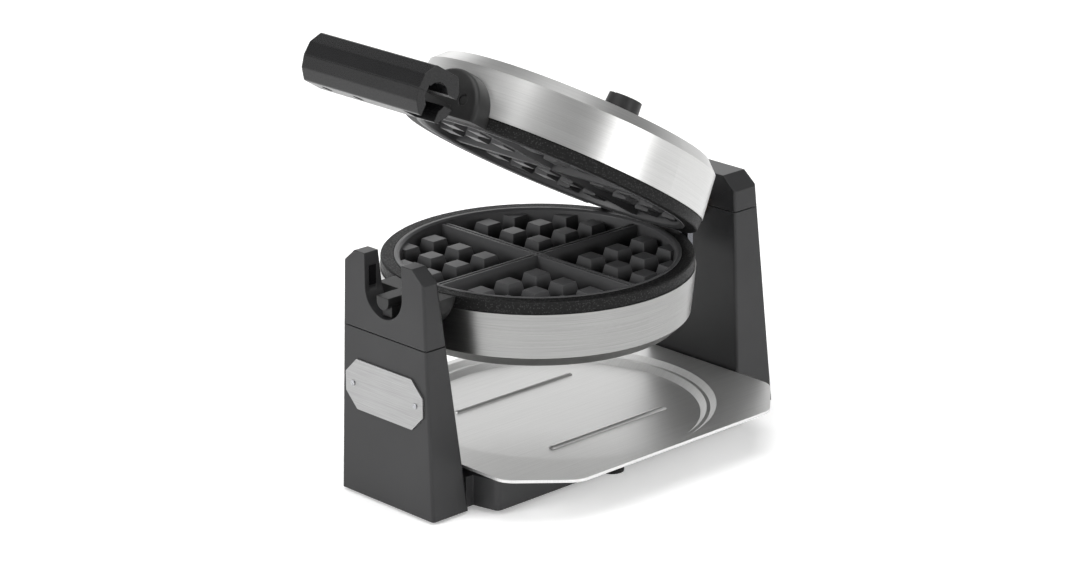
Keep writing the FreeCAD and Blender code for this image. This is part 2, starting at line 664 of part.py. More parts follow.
# Bearing bush, cord bush and terminal block
bush = fuse([rod("y", BUSH_R, REAR_IN_Y - BUSH_RIM_T, BUSH_END_Y, 0, AXIS_Z),
             rod("y", BUSH_R + BUSH_RIM, REAR_IN_Y - BUSH_RIM_T, REAR_IN_Y, 0, AXIS_Z)])
save("bearing_bush", bush.cut(rod("y", SHAFT_R + BEARING_PLAY, 0, FAR, 0, AXIS_Z)))
flange_y = CORD_BACK_Y + CORD_COLLAR
gland = fuse([rod("y", CORD_R, CORD_BACK_Y - CORD_IN, flange_y, 0, CORD_Z),
              rod("y", CORD_R + CORD_FLANGE, flange_y, CORD_BACK_Y + CORD_OUT, 0, CORD_Z)])
save("cord_bush", gland.cut(rod("y", CORD_BORE_R, 0, FAR, 0, CORD_Z)))
block_y = REAR_MID_Y - BLOCK_DEPTH / 2
block = box(-BLOCK_HALF, BLOCK_HALF, block_y, block_y + BLOCK_DEPTH, TONGUE_TOP_Z, TONGUE_TOP_Z + BLOCK_H)
block_ways = [rod("z", BLOCK_BORE_R, TONGUE_TOP_Z + BLOCK_H / 2, FAR, i * BLOCK_PITCH, REAR_MID_Y)
              for i in (-1, 0, 1)]
save("terminal_block", cut(block, block_ways))


# Drip tray: pressed sheet with a round dish and two ribs
def tray_plan(inset, z0, z1):
    x = TRAY_HALF_X - inset
    front, back = TRAY_FRONT_Y + inset, TRAY_BACK_Y - inset
    right = [(x - TRAY_CUT_X, front), (x, TRAY_FRONT_Y + TRAY_CUT_Y), (x, TRAY_BACK_Y - TRAY_CUT_Y),
             (x - TRAY_CUT_X, back)]
    left = [(-a, b) for a, b in reversed(right)]
    plan = prism([V(a, b, z0) for a, b in right + left], V(0, 0, z1 - z0))
    return plan.makeFillet(TRAY_CORNER_R - inset, upright_edges(plan))


def dish():
    ledge_z = TRAY_RIM_Z - TRAY_STEP_H
    ledge_out = TRAY_RIM_R - TRAY_STEP_W
    ledge_in = ledge_out - TRAY_LEDGE_W
    top = [(ledge_in - TRAY_SLOPE, TRAY_FLOOR_Z), (ledge_in, ledge_z), (ledge_out, ledge_z),
           (TRAY_RIM_R, TRAY_RIM_Z)]
    under = [(r + TRAY_T / 2, z - TRAY_T) for r, z in reversed(top)]
    pressed = turned([(0, TRAY_FLOOR_Z)] + top + under + [(0, TRAY_FLOOR_Z - TRAY_T)])
    return placed(pressed, 0, TRAY_MID_Y, 0)


tray = tray_plan(0, TRAY_RIM_Z - TRAY_T, TRAY_RIM_Z)
tray = tray.cut(rod("z", TRAY_RIM_R, 0, FAR, 0, TRAY_MID_Y))
tray_lip = tray_plan(0, TRAY_RIM_Z - TRAY_LIP_H, TRAY_RIM_Z).cut(
    tray_plan(TRAY_T, TRAY_RIM_Z - TRAY_LIP_H, TRAY_RIM_Z))
rib_z = TRAY_FLOOR_Z + TRAY_RIB_H - TRAY_RIB_R
rib_ends = (TRAY_MID_Y - TRAY_RIB_LEN / 2, TRAY_MID_Y + TRAY_RIB_LEN / 2)
bead = fuse([rod("y", TRAY_RIB_R, rib_ends[0], rib_ends[1], TRAY_RIB_X, rib_z)]
            + [Part.makeSphere(TRAY_RIB_R, V(TRAY_RIB_X, y, rib_z)) for y in rib_ends])
bead = bead.common(box(0, FAR, -FAR, FAR, TRAY_FLOOR_Z - TRAY_T / 2, FAR))
save("drip_tray", fuse([tray, dish(), tray_lip] + both(bead)))

# Plates: round cavity, cross ribs and square posts
CORNERS = ((-1, -1), (1, -1), (1, 1), (-1, 1))


def square(x, y, side, z):
    return [V(x + i * side / 2, y + j * side / 2, z) for i, j in CORNERS]


def post(x, y):
    return frustum(square(x, y, POST_FOOT, FLOOR_Z - POST_SINK), square(x, y, POST_TOP, FLOOR_Z + POST_H))


def cross_rib():
    top = FLOOR_Z + POST_H + RIB_RISE
    groove = RIB_GROOVE / 2
    half = [(RIB_FOOT / 2, FLOOR_Z - POST_SINK), (RIB_TOP / 2, top), (groove, top), (groove, top - RIB_RISE)]
    section = half + [(-s, z) for s, z in reversed(half)]
    return prism([V(s, -CAVITY_R, z) for s, z in section], V(0, 2 * CAVITY_R, 0))


def waffle_plate():
    top = RIM_Z + LIP_RISE
    back_r = CAVITY_R + PLATE_WALL
    outside = [(0, PLATE_BACK_Z), (back_r, PLATE_BACK_Z), (back_r, FLANGE_LOW_Z),
               (PLATE_FLANGE_R, FLANGE_LOW_Z), (PLATE_FLANGE_R, BEZEL_Z), (LIP_R, BEZEL_Z), (LIP_R, top)]
    inside = [(CAVITY_R + LIP_EASE_W, top), (CAVITY_R, top - LIP_EASE_H), (CAVITY_R - CAVITY_DRAFT, FLOOR_Z),
              (0, FLOOR_Z)]
    body = turned(outside + inside)
    count = int(CAVITY_R / GRID_PITCH)
    steps = [i * GRID_PITCH for i in range(-count, count + 1) if i]
    spots = [(x, y) for x in steps for y in steps if math.hypot(x, y) < CAVITY_R + POST_OVER]
    well_z = FLOOR_Z - POST_SINK
    well = turned([(0, well_z), (CAVITY_R - CAVITY_DRAFT, well_z), (CAVITY_R, top), (0, top)])
    posts = [post(x, y) if math.hypot(x, y) < CAVITY_R - POST_CLEAR else post(x, y).common(well)
             for x, y in spots]
    rib = cross_rib().common(well)
    across = rib.copy()
    across.rotate(V(0, 0, 0), V(0, 0, 1), 90)
    sunk = PLATE_BACK_Z + POST_SINK
    feet = around(rod("z", BOSS_R, PAN_Z + SHEET, sunk, BOSS_RING_R, 0), BOSS_COUNT, BOSS_TURN)
    pad = rod("z", BOSS_R, SHIELD_Z + SHIELD_T, sunk, SHIELD_BOSS_RING_R, 0)
    pads = around(pad, BOSS_COUNT, SHIELD_BOSS_TURN)
    plate = fuse([body] + posts + [rib, across] + feet + pads)
    cover_drill_z = PAN_Z + COVER_SCREW_LEN + SCREW_TIP_GAP
    shield_drill_z = SHIELD_Z + SHIELD_SCREW_LEN + SHIELD_T
    drills = around(rod("z", SCREW_R, PAN_Z, cover_drill_z, BOSS_RING_R, 0), BOSS_COUNT, BOSS_TURN)
    shield_drill = rod("z", SCREW_R, SHIELD_Z, shield_drill_z, SHIELD_BOSS_RING_R, 0)
    drills += around(shield_drill, BOSS_COUNT, SHIELD_BOSS_TURN)
    return cut(plate, [Part.makeTorus(ELEMENT_RING_R, ELEMENT_R, V(0, 0, ELEMENT_Z))] + drills)


def wall_r(z):
    return COVER_BASE_R + COVER_DRAFT * (z - WALL_Z) / WALL_H


def cover_shell():
    z = PAN_Z + SHEET
    return turned([(0, PAN_Z), (COVER_FLAT_R, PAN_Z), (COVER_BASE_R, WALL_Z), (COVER_TOP_R, BEZEL_Z),
                   (COVER_TOP_R - SHEET, BEZEL_Z), (COVER_BASE_R - SHEET, WALL_Z + SHEET_BEND * SHEET),
                   (COVER_FLAT_R - SHEET_BEND * SHEET, z), (0, z)])


def bezel_ring():
    low = BEZEL_Z - SKIRT_H
    inner = SKIRT_R - SKIRT_T
    return turned([(BEZEL_IN_R, BEZEL_Z), (inner, BEZEL_Z), (inner, low), (SKIRT_R, low), (SKIRT_R, BEZEL_Z),
                   (BEZEL_R, BEZEL_Z), (BEZEL_R, RIM_Z - BEZEL_EASE), (BEZEL_R - BEZEL_EASE, RIM_Z),
                   (BEZEL_IN_R, RIM_Z)])


def heating_element():
    ring = Part.makeTorus(ELEMENT_RING_R, ELEMENT_R, V(0, 0, ELEMENT_Z))
    ring = ring.cut(box(-ELEMENT_GAP / 2, ELEMENT_GAP / 2, 0, FAR, 0, FAR))
    low = ELEMENT_Z - ELEMENT_LEG_H
    leg = fuse([rod("z", ELEMENT_LEG_R, low, ELEMENT_Z, ELEMENT_LEG_X, ELEMENT_LEG_Y),
                rod("z", TERMINAL_R, low - TERMINAL_H, low, ELEMENT_LEG_X, ELEMENT_LEG_Y)])
    return fuse([ring] + both(leg))


def heat_shield():
    rim = CAVITY_R - SHIELD_T
    high = SHIELD_Z + SHIELD_RIM_H
    disc = turned([(0, SHIELD_Z), (CAVITY_R, SHIELD_Z), (CAVITY_R, high), (rim, high),
                   (rim, SHIELD_Z + SHIELD_T), (0, SHIELD_Z + SHIELD_T)])
    tools = around(rod("z", BOSS_R + FIT, 0, FAR, BOSS_RING_R, 0), BOSS_COUNT, BOSS_TURN)
    tools += around(rod("z", SCREW_R + HOLE_PLAY, 0, FAR, SHIELD_BOSS_RING_R, 0), BOSS_COUNT, SHIELD_BOSS_TURN)
    tools += both(rod("z", ELEMENT_R + FIT, 0, FAR, ELEMENT_LEG_X, ELEMENT_LEG_Y))
    return cut(disc, tools)


# Lower pan
plate = waffle_plate()
cover_hole = rod("z", SCREW_R + HOLE_PLAY, 0, PAN_Z + SHEET, BOSS_RING_R, 0)
cover = cut(cover_shell(), around(cover_hole, BOSS_COUNT, BOSS_TURN))
bezel = bezel_ring()
heater = heating_element()
shield = heat_shield()
shield_screw = placed(screw(SHIELD_SCREW_LEN), SHIELD_BOSS_RING_R, 0, SHIELD_Z)
shield_screws = Part.makeCompound(around(shield_screw, BOSS_COUNT, SHIELD_BOSS_TURN))
cover_screw = placed(screw(COVER_SCREW_LEN), BOSS_RING_R, 0, PAN_Z)
cover_screws = Part.makeCompound(around(cover_screw, BOSS_COUNT, BOSS_TURN))
yoke_drills = both(radial(SCREW_R, CAVITY_R + PLATE_WALL, FLANGE_Y, YOKE_SCREW_DEG, YOKE_SCREW_Z))
swing_way = box(-SWING_HALF, SWING_HALF, BEZEL_IN_R, FAR, RIM_Z - SWING_DEPTH, FAR)
save("lower_plate", plate)
save("lower_cover", cut(cover, yoke_drills))
save("lower_bezel", bezel.cut(swing_way))
save("lower_heating_element", heater)
save("lower_heat_shield", shield)
save("lower_shield_screws", shield_screws)
save("lower_cover_screws", cover_screws)
fuse_z = PLATE_BACK_Z - FUSE_R
lead_x = FUSE_LEN / 2 + FUSE_LEAD
save("thermal_fuse", fuse([rod("x", FUSE_R, -FUSE_LEN / 2, FUSE_LEN / 2, FUSE_Y, fuse_z),
                           rod("x", FUSE_LEAD_R, -lead_x, lead_x, FUSE_Y, fuse_z)]))

# Yoke at the rear: pad on the cover, neck, shaft flange and two hinge lugs
pad = turned([(wall_r(YOKE_LOW_Z), YOKE_LOW_Z), (wall_r(YOKE_LOW_Z) + YOKE_T, YOKE_LOW_Z),
              (wall_r(YOKE_TOP_Z) + YOKE_T, YOKE_TOP_Z), (wall_r(YOKE_TOP_Z), YOKE_TOP_Z)],
             YOKE_SPAN_DEG, 90 - YOKE_SPAN_DEG / 2)
flange_end = FLANGE_Y + FLANGE_T
neck = box(-NECK_HALF, NECK_HALF, COVER_TOP_R + YOKE_T / 2, flange_end, YOKE_LOW_Z, YOKE_TOP_Z)
riser = box(-FLANGE_R, FLANGE_R, FLANGE_Y, flange_end, YOKE_LOW_Z, AXIS_Z)
lug = fuse([box(LUG_X, LUG_END_X, LUG_Y, LUG_Y + LUG_DEPTH, YOKE_LOW_Z, HINGE_Z + LUG_R / 2),
            rod("x", LUG_R, LUG_X, LUG_END_X, HINGE_Y, HINGE_Z),
            box(LUG_X, LUG_END_X, HINGE_Y, LUG_Y + LUG_DEPTH, HINGE_Z - LUG_R, HINGE_Z + LUG_R / 2)])
yoke = fuse([pad, neck, riser, rod("y", FLANGE_R, FLANGE_Y, flange_end, 0, AXIS_Z)] + both(lug))
shaft_start = flange_end - SHAFT_SEAT
pin_way = rod("x", HINGE_PIN_R, -FAR, FAR, HINGE_Y, HINGE_Z)
shaft_way = rod("y", SHAFT_R, shaft_start, FAR, 0, AXIS_Z)
yoke = cut(yoke, [pin_way, shaft_way] + yoke_drills)
save("hinge_yoke", yoke)
head_r = wall_r(YOKE_SCREW_Z) + YOKE_T + FIT
screw_r = CAVITY_R + PLATE_WALL + YOKE_SCREW_START
yoke_screw = fuse([radial(SCREW_HEAD_R, head_r, head_r + SCREW_HEAD_H, YOKE_SCREW_DEG, YOKE_SCREW_Z),
                   radial(SCREW_R, screw_r, head_r + SCREW_HEAD_H, YOKE_SCREW_DEG, YOKE_SCREW_Z)])
save("yoke_screws", Part.makeCompound(both(yoke_screw)))

# Trunnion shaft with its retaining ring and rotation stop
ring_seat = rod("y", SHAFT_R - CLIP_DEPTH, 0, FAR, 0, AXIS_Z)
stop_y = SHAFT_END_Y - STOP_INSET
shaft = rod("y", SHAFT_R, shaft_start, SHAFT_END_Y, 0, AXIS_Z)
groove = rod("y", SHAFT_R, CLIP_Y, CLIP_Y + CLIP_T, 0, AXIS_Z).cut(ring_seat)
shaft_bore = rod("y", SHAFT_BORE_R, shaft_start + FLANGE_T, FAR, 0, AXIS_Z)
save("trunnion_shaft", cut(shaft, [shaft_bore, groove, rod("z", STOP_R, AXIS_Z, FAR, 0, stop_y)]))
ring = rod("y", SHAFT_R + CLIP_RIM, CLIP_Y, CLIP_Y + CLIP_T, 0, AXIS_Z).cut(ring_seat)
save("retaining_ring", ring.cut(box(-CLIP_MOUTH / 2, CLIP_MOUTH / 2, 0, FAR, 0, AXIS_Z)))
save("rotation_stop", rod("z", STOP_R, AXIS_Z + SHAFT_BORE_R, AXIS_Z + SHAFT_BORE_R + STOP_LEN, 0, stop_y))
pin = fuse([rod("x", HINGE_PIN_R, LUG_X - EAR_GAP - EAR_T, LUG_END_X, HINGE_Y, HINGE_Z),
            rod("x", HINGE_PIN_R + HINGE_PIN_HEAD, LUG_END_X, LUG_END_X + HINGE_PIN_HEAD_T, HINGE_Y, HINGE_Z)])
save("hinge_pins", Part.makeCompound(both(pin)))

# Front trunnion: half drum, rounded bar and heel that sit in the fork
def drum(front):
    solid = rod("y", HUB_R, front, -CAVITY_R, 0, AXIS_Z)
    rim = [e for e in solid.Edges if e.BoundBox.YMax < front + FIT]
    return solid.makeFillet(HUB_EDGE_R, rim)


pan_body = turned([(0, PAN_Z), (COVER_FLAT_R, PAN_Z), (COVER_BASE_R, WALL_Z), (COVER_TOP_R, BEZEL_Z),
                   (BEZEL_R, BEZEL_Z), (BEZEL_R, RIM_Z), (0, RIM_Z)])
half = drum(TRUNNION_Y)
half = half.cut(box(-FAR, FAR, -FAR, FAR, RIM_Z - FIT, FAR)).cut(pan_body)
bar_mid_z = TRUNNION_TOP_Z - PIN_STRAIGHT
bar = fuse([box(-PIN_R, PIN_R, PIN_END_Y, TRUNNION_Y + PIN_STRAIGHT, bar_mid_z, TRUNNION_TOP_Z),
            rod("y", PIN_R, PIN_END_Y, TRUNNION_Y + PIN_STRAIGHT, 0, bar_mid_z)])
bar = bar.cut(box(-FAR, FAR, -FAR, FAR, TRUNNION_TOP_Z, FAR))
heel_z = AXIS_Z - SLOT_HALF + HEEL_PLAY
heel = box(-HEEL_HALF, HEEL_HALF, HEEL_END_Y, TRUNNION_Y + PIN_STRAIGHT, heel_z, bar_mid_z)
save("front_trunnion", fuse([half, bar, heel]))

# Lid pan: the same pan mirrored, with the hinge gap at the rear
GAP_X = LUG_END_X + HINGE_PIN_HEAD_T + HINGE_GAP_PLAY
EAR_X = LUG_X - EAR_GAP - EAR_T
LIP_EDGE_Y = math.sqrt(LIP_R ** 2 - EAR_X ** 2) - EAR_WAY_INSET
ear_way = box(EAR_X - EAR_GAP, GAP_X, LIP_EDGE_Y, FAR, LID_Z + EAR_R, LEAF_Z + LEAF_T)
leaf_drills = both(rod("z", SCREW_R, LEAF_Z - LEAF_HOLE, LEAF_Z, LEAF_SCREW_X, LEAF_SCREW_Y))
save_lid("upper_plate", cut(flipped(plate), both(ear_way) + leaf_drills))
save_lid("upper_heating_element", flipped(heater))
save_lid("upper_heat_shield", flipped(shield).cut(rod("z", THERMOSTAT_R + THERMOSTAT_GAP, 0, FAR, 0, KNOB_Y)))
save_lid("upper_shield_screws", flipped(shield_screws))
save_lid("lid_cover_screws", flipped(cover_screws))
hub_drills = both(rod("y", SCREW_R, HUB_SEAT_Y, HUB_SEAT_Y + HUB_SCREW_LEN, HUB_SCREW_X, HUB_SCREW_AT_Z))
hinge_gap = box(-GAP_X, GAP_X, 0, FAR, 0, FAR)
save_lid("upper_bezel", cut(flipped(bezel), [hinge_gap] + hub_drills))
window = box(LUG_X - EAR_GAP - FIT, GAP_X, 0, FAR, 0, HINGE_Z + 3 * LUG_R)
openings = both(window) + both(rod("z", LIGHT_R, 0, FAR, LIGHT_X, KNOB_Y)) + hub_drills
save_lid("lid_cover", cut(flipped(cover), openings + [rod("z", SPINDLE_R + SPINDLE_GAP, 0, FAR, 0, KNOB_Y)]))

# Hinge leaf inside the lid, with two ears on the pins
leaf_in = CAVITY_R + PLATE_WALL + LEAF_GAP
leaf_out = SKIRT_R + FIT
strap = turned([(leaf_in, LEAF_Z), (leaf_out, LEAF_Z), (leaf_out, LEAF_Z + LEAF_T), (leaf_in, LEAF_Z + LEAF_T)],
               LEAF_SPAN_DEG, 90 - LEAF_SPAN_DEG / 2)
ear_end = EAR_X + EAR_T
web_y = HINGE_Y - EAR_WEB_SHARE * EAR_WEB
ear = fuse([rod("x", EAR_R, EAR_X, ear_end, HINGE_Y, HINGE_Z),
            box(EAR_X, ear_end, web_y, web_y + EAR_WEB, HINGE_Z, LEAF_Z + LEAF_T)])
leaf = cut(fuse([strap] + both(ear)), [rod("x", HINGE_PIN_R + HINGE_PLAY, -FAR, FAR, HINGE_Y, HINGE_Z)]
           + both(rod("z", SCREW_R + HOLE_PLAY, 0, FAR, LEAF_SCREW_X, LEAF_SCREW_Y)))
save_lid("hinge_leaf", leaf)
leaf_screw = placed(screw(LEAF_T + LEAF_SCREW_BITE, 180), LEAF_SCREW_X, LEAF_SCREW_Y, LEAF_Z + LEAF_T)
save_lid("leaf_screws", Part.makeCompound(both(leaf_screw)))

# Thermostat with its spindle, the two lamps and the browning knob
inside_z = LID_TOP_Z - SHEET
spindle_top = LID_TOP_Z + SPINDLE_H
save_lid("thermostat", fuse([rod("z", THERMOSTAT_R, inside_z - THERMOSTAT_H, inside_z, 0, KNOB_Y),
                             rod("z", SPINDLE_R, inside_z - SPINDLE_ROOT, spindle_top, 0, KNOB_Y)]))
for name, x in (("power_light", -LIGHT_X), ("ready_light", LIGHT_X)):
    dome = Part.makeSphere(LIGHT_R + LIGHT_RIM, V(x, KNOB_Y, LID_TOP_Z - LIGHT_DOME_SINK * LIGHT_R))
    dome = dome.common(rod("z", LIGHT_R, LID_TOP_Z, FAR, x, KNOB_Y))
    save_lid(name, fuse([rod("z", LIGHT_R, inside_z - LIGHT_DEEP, LID_TOP_Z + LIGHT_STEP, x, KNOB_Y),
                         rod("z", LIGHT_R + LIGHT_RIM, LID_TOP_Z, LID_TOP_Z + LIGHT_RIM_T, x, KNOB_Y), dome]))
knob_z = LID_TOP_Z + KNOB_GAP
knob_top = knob_z + KNOB_H
knob = fuse([Part.makeCone(KNOB_R, KNOB_R - KNOB_TAPER, KNOB_H, V(0, KNOB_Y, knob_z)),
             rod("z", KNOB_R + KNOB_SKIRT, knob_z, knob_z + KNOB_SKIRT_H, 0, KNOB_Y)])
flutes = []
for i in range(KNOB_FLUTES):
    a = 2 * math.pi * i / KNOB_FLUTES
    at_r = KNOB_R + KNOB_FLUTE_R / 3
    flute_y = KNOB_Y + at_r * math.cos(a)
    flutes.append(rod("z", KNOB_FLUTE_R, knob_z + KNOB_SKIRT_H, FAR, at_r * math.sin(a), flute_y))
mark_z = knob_top - KNOB_MARK / 2
mark = box(-KNOB_MARK / 2, KNOB_MARK / 2, KNOB_Y - KNOB_R, KNOB_Y - KNOB_R / 3, mark_z, FAR)
socket = rod("z", SPINDLE_R + SPINDLE_PLAY, knob_z, spindle_top + FIT, 0, KNOB_Y)
save_lid("browning_knob", cut(knob, flutes + [mark, socket]))

# Handle hub: half drum on the lid, flat bar and pivot eye
hub = drum(HUB_FRONT_Y)
hub = hub.cut(box(-FAR, FAR, -FAR, FAR, 0, LID_Z)).cut(flipped(pan_body))
bar = box(-BAR_HALF, BAR_HALF, HANDLE_Y, HUB_FRONT_Y + HUB_EDGE_R, BAR_LOW_Z, BAR_TOP_Z)
eye = rod("z", EYE_R, BAR_LOW_Z, BAR_TOP_Z, 0, HANDLE_Y)
hub = fuse([hub, bar, eye])
head_ways = both(rod("y", SCREW_HEAD_R + FIT, -FAR, HUB_SEAT_Y, HUB_SCREW_X, HUB_SCREW_AT_Z))
pivot_way = rod("z", PIVOT_R + PIVOT_PLAY, 0, FAR, 0, HANDLE_Y)
save_lid("handle_hub", cut(hub, hub_drills + head_ways + [pivot_way]))
hub_screw = placed(screw(HUB_SCREW_LEN, -90), HUB_SCREW_X, HUB_SEAT_Y, HUB_SCREW_AT_Z)
save_lid("hub_screws", Part.makeCompound(both(hub_screw)))

# Handle: two hollow shells on a pivot pin, folded across the front
upper_half = [(HANDLE_HALF, 0), (HANDLE_HALF - HANDLE_SIDE_LEAN, HANDLE_SIDE_UP), (HANDLE_TOP_HALF, HANDLE_TOP)]
lower_half = [(HANDLE_BOTTOM_HALF, -HANDLE_BOTTOM), (HANDLE_HALF - HANDLE_SIDE_IN, -HANDLE_SIDE_DOWN)]
right_side = lower_half + upper_half
SECTION = right_side + [(-y, z) for y, z in reversed(right_side)]


def handle_bar(inset, x0, x1):
    share = 1 - inset / HANDLE_BOTTOM
    return prism([V(x0, HANDLE_Y + y * share, AXIS_Z + z * share) for y, z in SECTION], V(x1 - x0, 0, 0))


grip = handle_bar(0, -HANDLE_OUTER, HANDLE_INNER)
grip = grip.makeFillet(HANDLE_EDGE_R, [e for e in grip.Edges if e.BoundBox.XLength > HANDLE_INNER])
hollow = handle_bar(HANDLE_WALL, HANDLE_WALL - HANDLE_OUTER, -HANDLE_SOLID)
screw_spots = (-HANDLE_SCREW_A, -HANDLE_SCREW_B)
pillar_low = AXIS_Z - HANDLE_BOTTOM + HANDLE_PILLAR_INSET
pillar_top = AXIS_Z + HANDLE_TOP - HANDLE_PILLAR_INSET
pillars = [rod("z", HANDLE_PILLAR_R, pillar_low, pillar_top, x, HANDLE_Y) for x in screw_spots]
grip = fuse([grip.cut(hollow)] + pillars)
sweep_r = EYE_R + SWEEP_PLAY
sweep = box(-sweep_r, FAR, HANDLE_Y - sweep_r, 0, BAR_LOW_Z - SWEEP_PLAY, BAR_TOP_Z + SWEEP_PLAY)
bore = rod("x", HANDLE_BORE_R, HANDLE_INNER - HANDLE_BORE_DEPTH, FAR, HANDLE_Y, AXIS_Z)
pin_reach = HANDLE_INNER - (PIN_END_Y - HANDLE_Y)
slot_end = HANDLE_INNER - pin_reach - HEEL_SLOT_OVER
slot_half = PIN_R + SWEEP_PLAY
heel_slot = box(slot_end, FAR, HANDLE_Y - slot_half, HANDLE_Y + slot_half, 0, AXIS_Z)
pivot = rod("z", PIVOT_R, AXIS_Z - PIVOT_DOWN, AXIS_Z + PIVOT_UP, 0, HANDLE_Y)
head_z = AXIS_Z - HANDLE_SCREW_SINK
screw_ways = [rod("z", SCREW_R + HOLE_PLAY, 0, AXIS_Z, x, HANDLE_Y) for x in screw_spots]
screw_ways += [rod("z", SCREW_HEAD_R + FIT, 0, head_z, x, HANDLE_Y) for x in screw_spots]
screw_ways += [rod("z", SCREW_R, AXIS_Z, AXIS_Z + HANDLE_SCREW_BITE, x, HANDLE_Y) for x in screw_spots]
grip = cut(grip, [sweep, bore, heel_slot, pivot] + screw_ways)
save_lid("handle_upper_shell", grip.common(box(-FAR, FAR, -FAR, 0, AXIS_Z, FAR)))
save_lid("handle_lower_shell", grip.common(box(-FAR, FAR, -FAR, 0, 0, AXIS_Z)))
save_lid("handle_pivot_pin", pivot)
handle_screws = [placed(screw(HANDLE_SCREW_LEN), x, HANDLE_Y, head_z) for x in screw_spots]
save_lid("handle_screws", Part.makeCompound(handle_screws))
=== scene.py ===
import json
import math
import bmesh
import bpy
from mathutils import Matrix, Vector


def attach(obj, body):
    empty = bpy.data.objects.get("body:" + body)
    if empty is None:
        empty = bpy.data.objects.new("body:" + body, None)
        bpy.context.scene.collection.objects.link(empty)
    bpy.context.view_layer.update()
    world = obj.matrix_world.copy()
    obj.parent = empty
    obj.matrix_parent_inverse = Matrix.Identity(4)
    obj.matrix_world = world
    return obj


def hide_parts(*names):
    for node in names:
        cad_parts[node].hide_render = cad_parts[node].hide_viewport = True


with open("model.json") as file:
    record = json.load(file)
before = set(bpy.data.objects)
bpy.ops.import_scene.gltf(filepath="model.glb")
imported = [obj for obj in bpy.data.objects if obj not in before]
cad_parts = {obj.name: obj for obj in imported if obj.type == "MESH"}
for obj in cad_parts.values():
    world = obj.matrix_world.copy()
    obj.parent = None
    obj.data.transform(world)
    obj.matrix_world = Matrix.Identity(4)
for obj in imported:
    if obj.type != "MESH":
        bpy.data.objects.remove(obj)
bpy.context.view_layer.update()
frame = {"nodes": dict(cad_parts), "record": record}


# Base rail: a low hollow trough of dark ABS that joins the two towers, closed
# below by a screwed cover. Both are injection moulded with a fine spark-eroded
# grain, and the terminal block inside the rear tower is of the same plastic.
MM = 0.001
MOULD_EDGE_MM = 0.9


def linear(hex_colour):
    steps = [int(hex_colour[i:i + 2], 16) / 255 for i in (1, 3, 5)]
    return [c / 12.92 if c <= 0.04045 else ((c + 0.055) / 1.055) ** 2.4 for c in steps] + [1.0]


def feed(tree, node, links):
    for name, (source, output) in links.items():
        tree.links.new(source.outputs[output], node.inputs[name])


def add(tree, kind, settings, links):
    # A setting is the two ends of a colour ramp, an input or a property.
    made = tree.nodes.new(kind)
    for name, value in settings.items():
        if name == "ends":
            for end, (position, colour) in zip(made.color_ramp.elements, value):
                end.position, end.color = position, linear(colour)
        elif isinstance(name, int) or name in made.inputs.keys():
            made.inputs[name].default_value = value
        else:
            setattr(made, name, value)
    feed(tree, made, links)
    return made


def start_material(name):
    material = bpy.data.materials.new(name)
    material.use_nodes = True
    tree = material.node_tree
    place = add(tree, "ShaderNodeTexCoord", {}, {})
    return material, tree, tree.nodes["Principled BSDF"], place


def moulded_plastic(name, dark, light, rough, grain_mm, depth_mm, mottle_mm):
    # Spark-eroded mould texture: a fine pebble grain that breaks up the gloss,
    # a faint mottle of tone from the flow, and edges that catch a soft light.
    material, tree, shader, place = start_material(name)
    mottle = add(tree, "ShaderNodeTexNoise", {"Scale": 1 / (mottle_mm * MM), "Detail": 3.0},
                 {"Vector": (place, "Object")})
    tone = add(tree, "ShaderNodeValToRGB", {"ends": ((0.35, dark), (0.68, light))},
               {"Fac": (mottle, "Fac")})
    grain = add(tree, "ShaderNodeTexNoise",
                {"Scale": 1 / (grain_mm * MM), "Detail": 2.0, "Roughness": 0.6},
                {"Vector": (place, "Object")})
    gloss = add(tree, "ShaderNodeMapRange", {"To Min": rough - 0.06, "To Max": rough + 0.1},
                {"Value": (grain, "Fac")})
    edge = add(tree, "ShaderNodeBevel", {"samples": 6, "Radius": MOULD_EDGE_MM * MM}, {})
    bump = add(tree, "ShaderNodeBump", {"Strength": 0.35, "Distance": depth_mm * MM},
               {"Height": (grain, "Fac"), "Normal": (edge, "Normal")})
    feed(tree, shader, {"Base Color": (tone, "Color"), "Roughness": (gloss, "Result"),
                        "Normal": (bump, "Normal")})
    shader.inputs["Specular IOR Level"].default_value = 0.35
    return material


def dress(names, material):
    for name in names:
        mesh = frame["nodes"][name].data
        mesh.materials.clear()
        mesh.materials.append(material)


base_abs = moulded_plastic("dark_ABS_moulded", "#2c2c2d", "#363637", rough=0.4,
                           grain_mm=0.5, depth_mm=0.04, mottle_mm=60)
dress(["base_rail", "base_bottom_cover", "terminal_block"], base_abs)

# Feet: six plugs of black rubber under the rail and the towers, moulded and
# pressed into sockets, matte and slightly dusty where they meet the worktop.
foot_rubber = moulded_plastic("black_rubber_moulded", "#161616", "#242424", rough=0.75,
                              grain_mm=0.8, depth_mm=0.08, mottle_mm=9)
dress(["rubber_feet"], foot_rubber)


# Fasteners: small bright steel screws, clips and pins, turned and zinc plated,
# that hold the covers, towers, shields, handle and hinge together.
TURNING_MARK_MM = 0.6


def plated_steel(name, dark, light, rough):
    # Plating over turning marks: a fine uneven glint with no clear image in it.
    material, tree, shader, place = start_material(name)
    marks = add(tree, "ShaderNodeTexNoise", {"Scale": 1 / (TURNING_MARK_MM * MM), "Detail": 2.0},
                {"Vector": (place, "Object")})
    tone = add(tree, "ShaderNodeValToRGB", {"ends": ((0.3, dark), (0.7, light))},
               {"Fac": (marks, "Fac")})
    gloss = add(tree, "ShaderNodeMapRange", {"To Min": rough - 0.08, "To Max": rough + 0.12},
                {"Value": (marks, "Fac")})
    feed(tree, shader, {"Base Color": (tone, "Color"), "Roughness": (gloss, "Result")})
    shader.inputs["Metallic"].default_value = 1.0
    return material


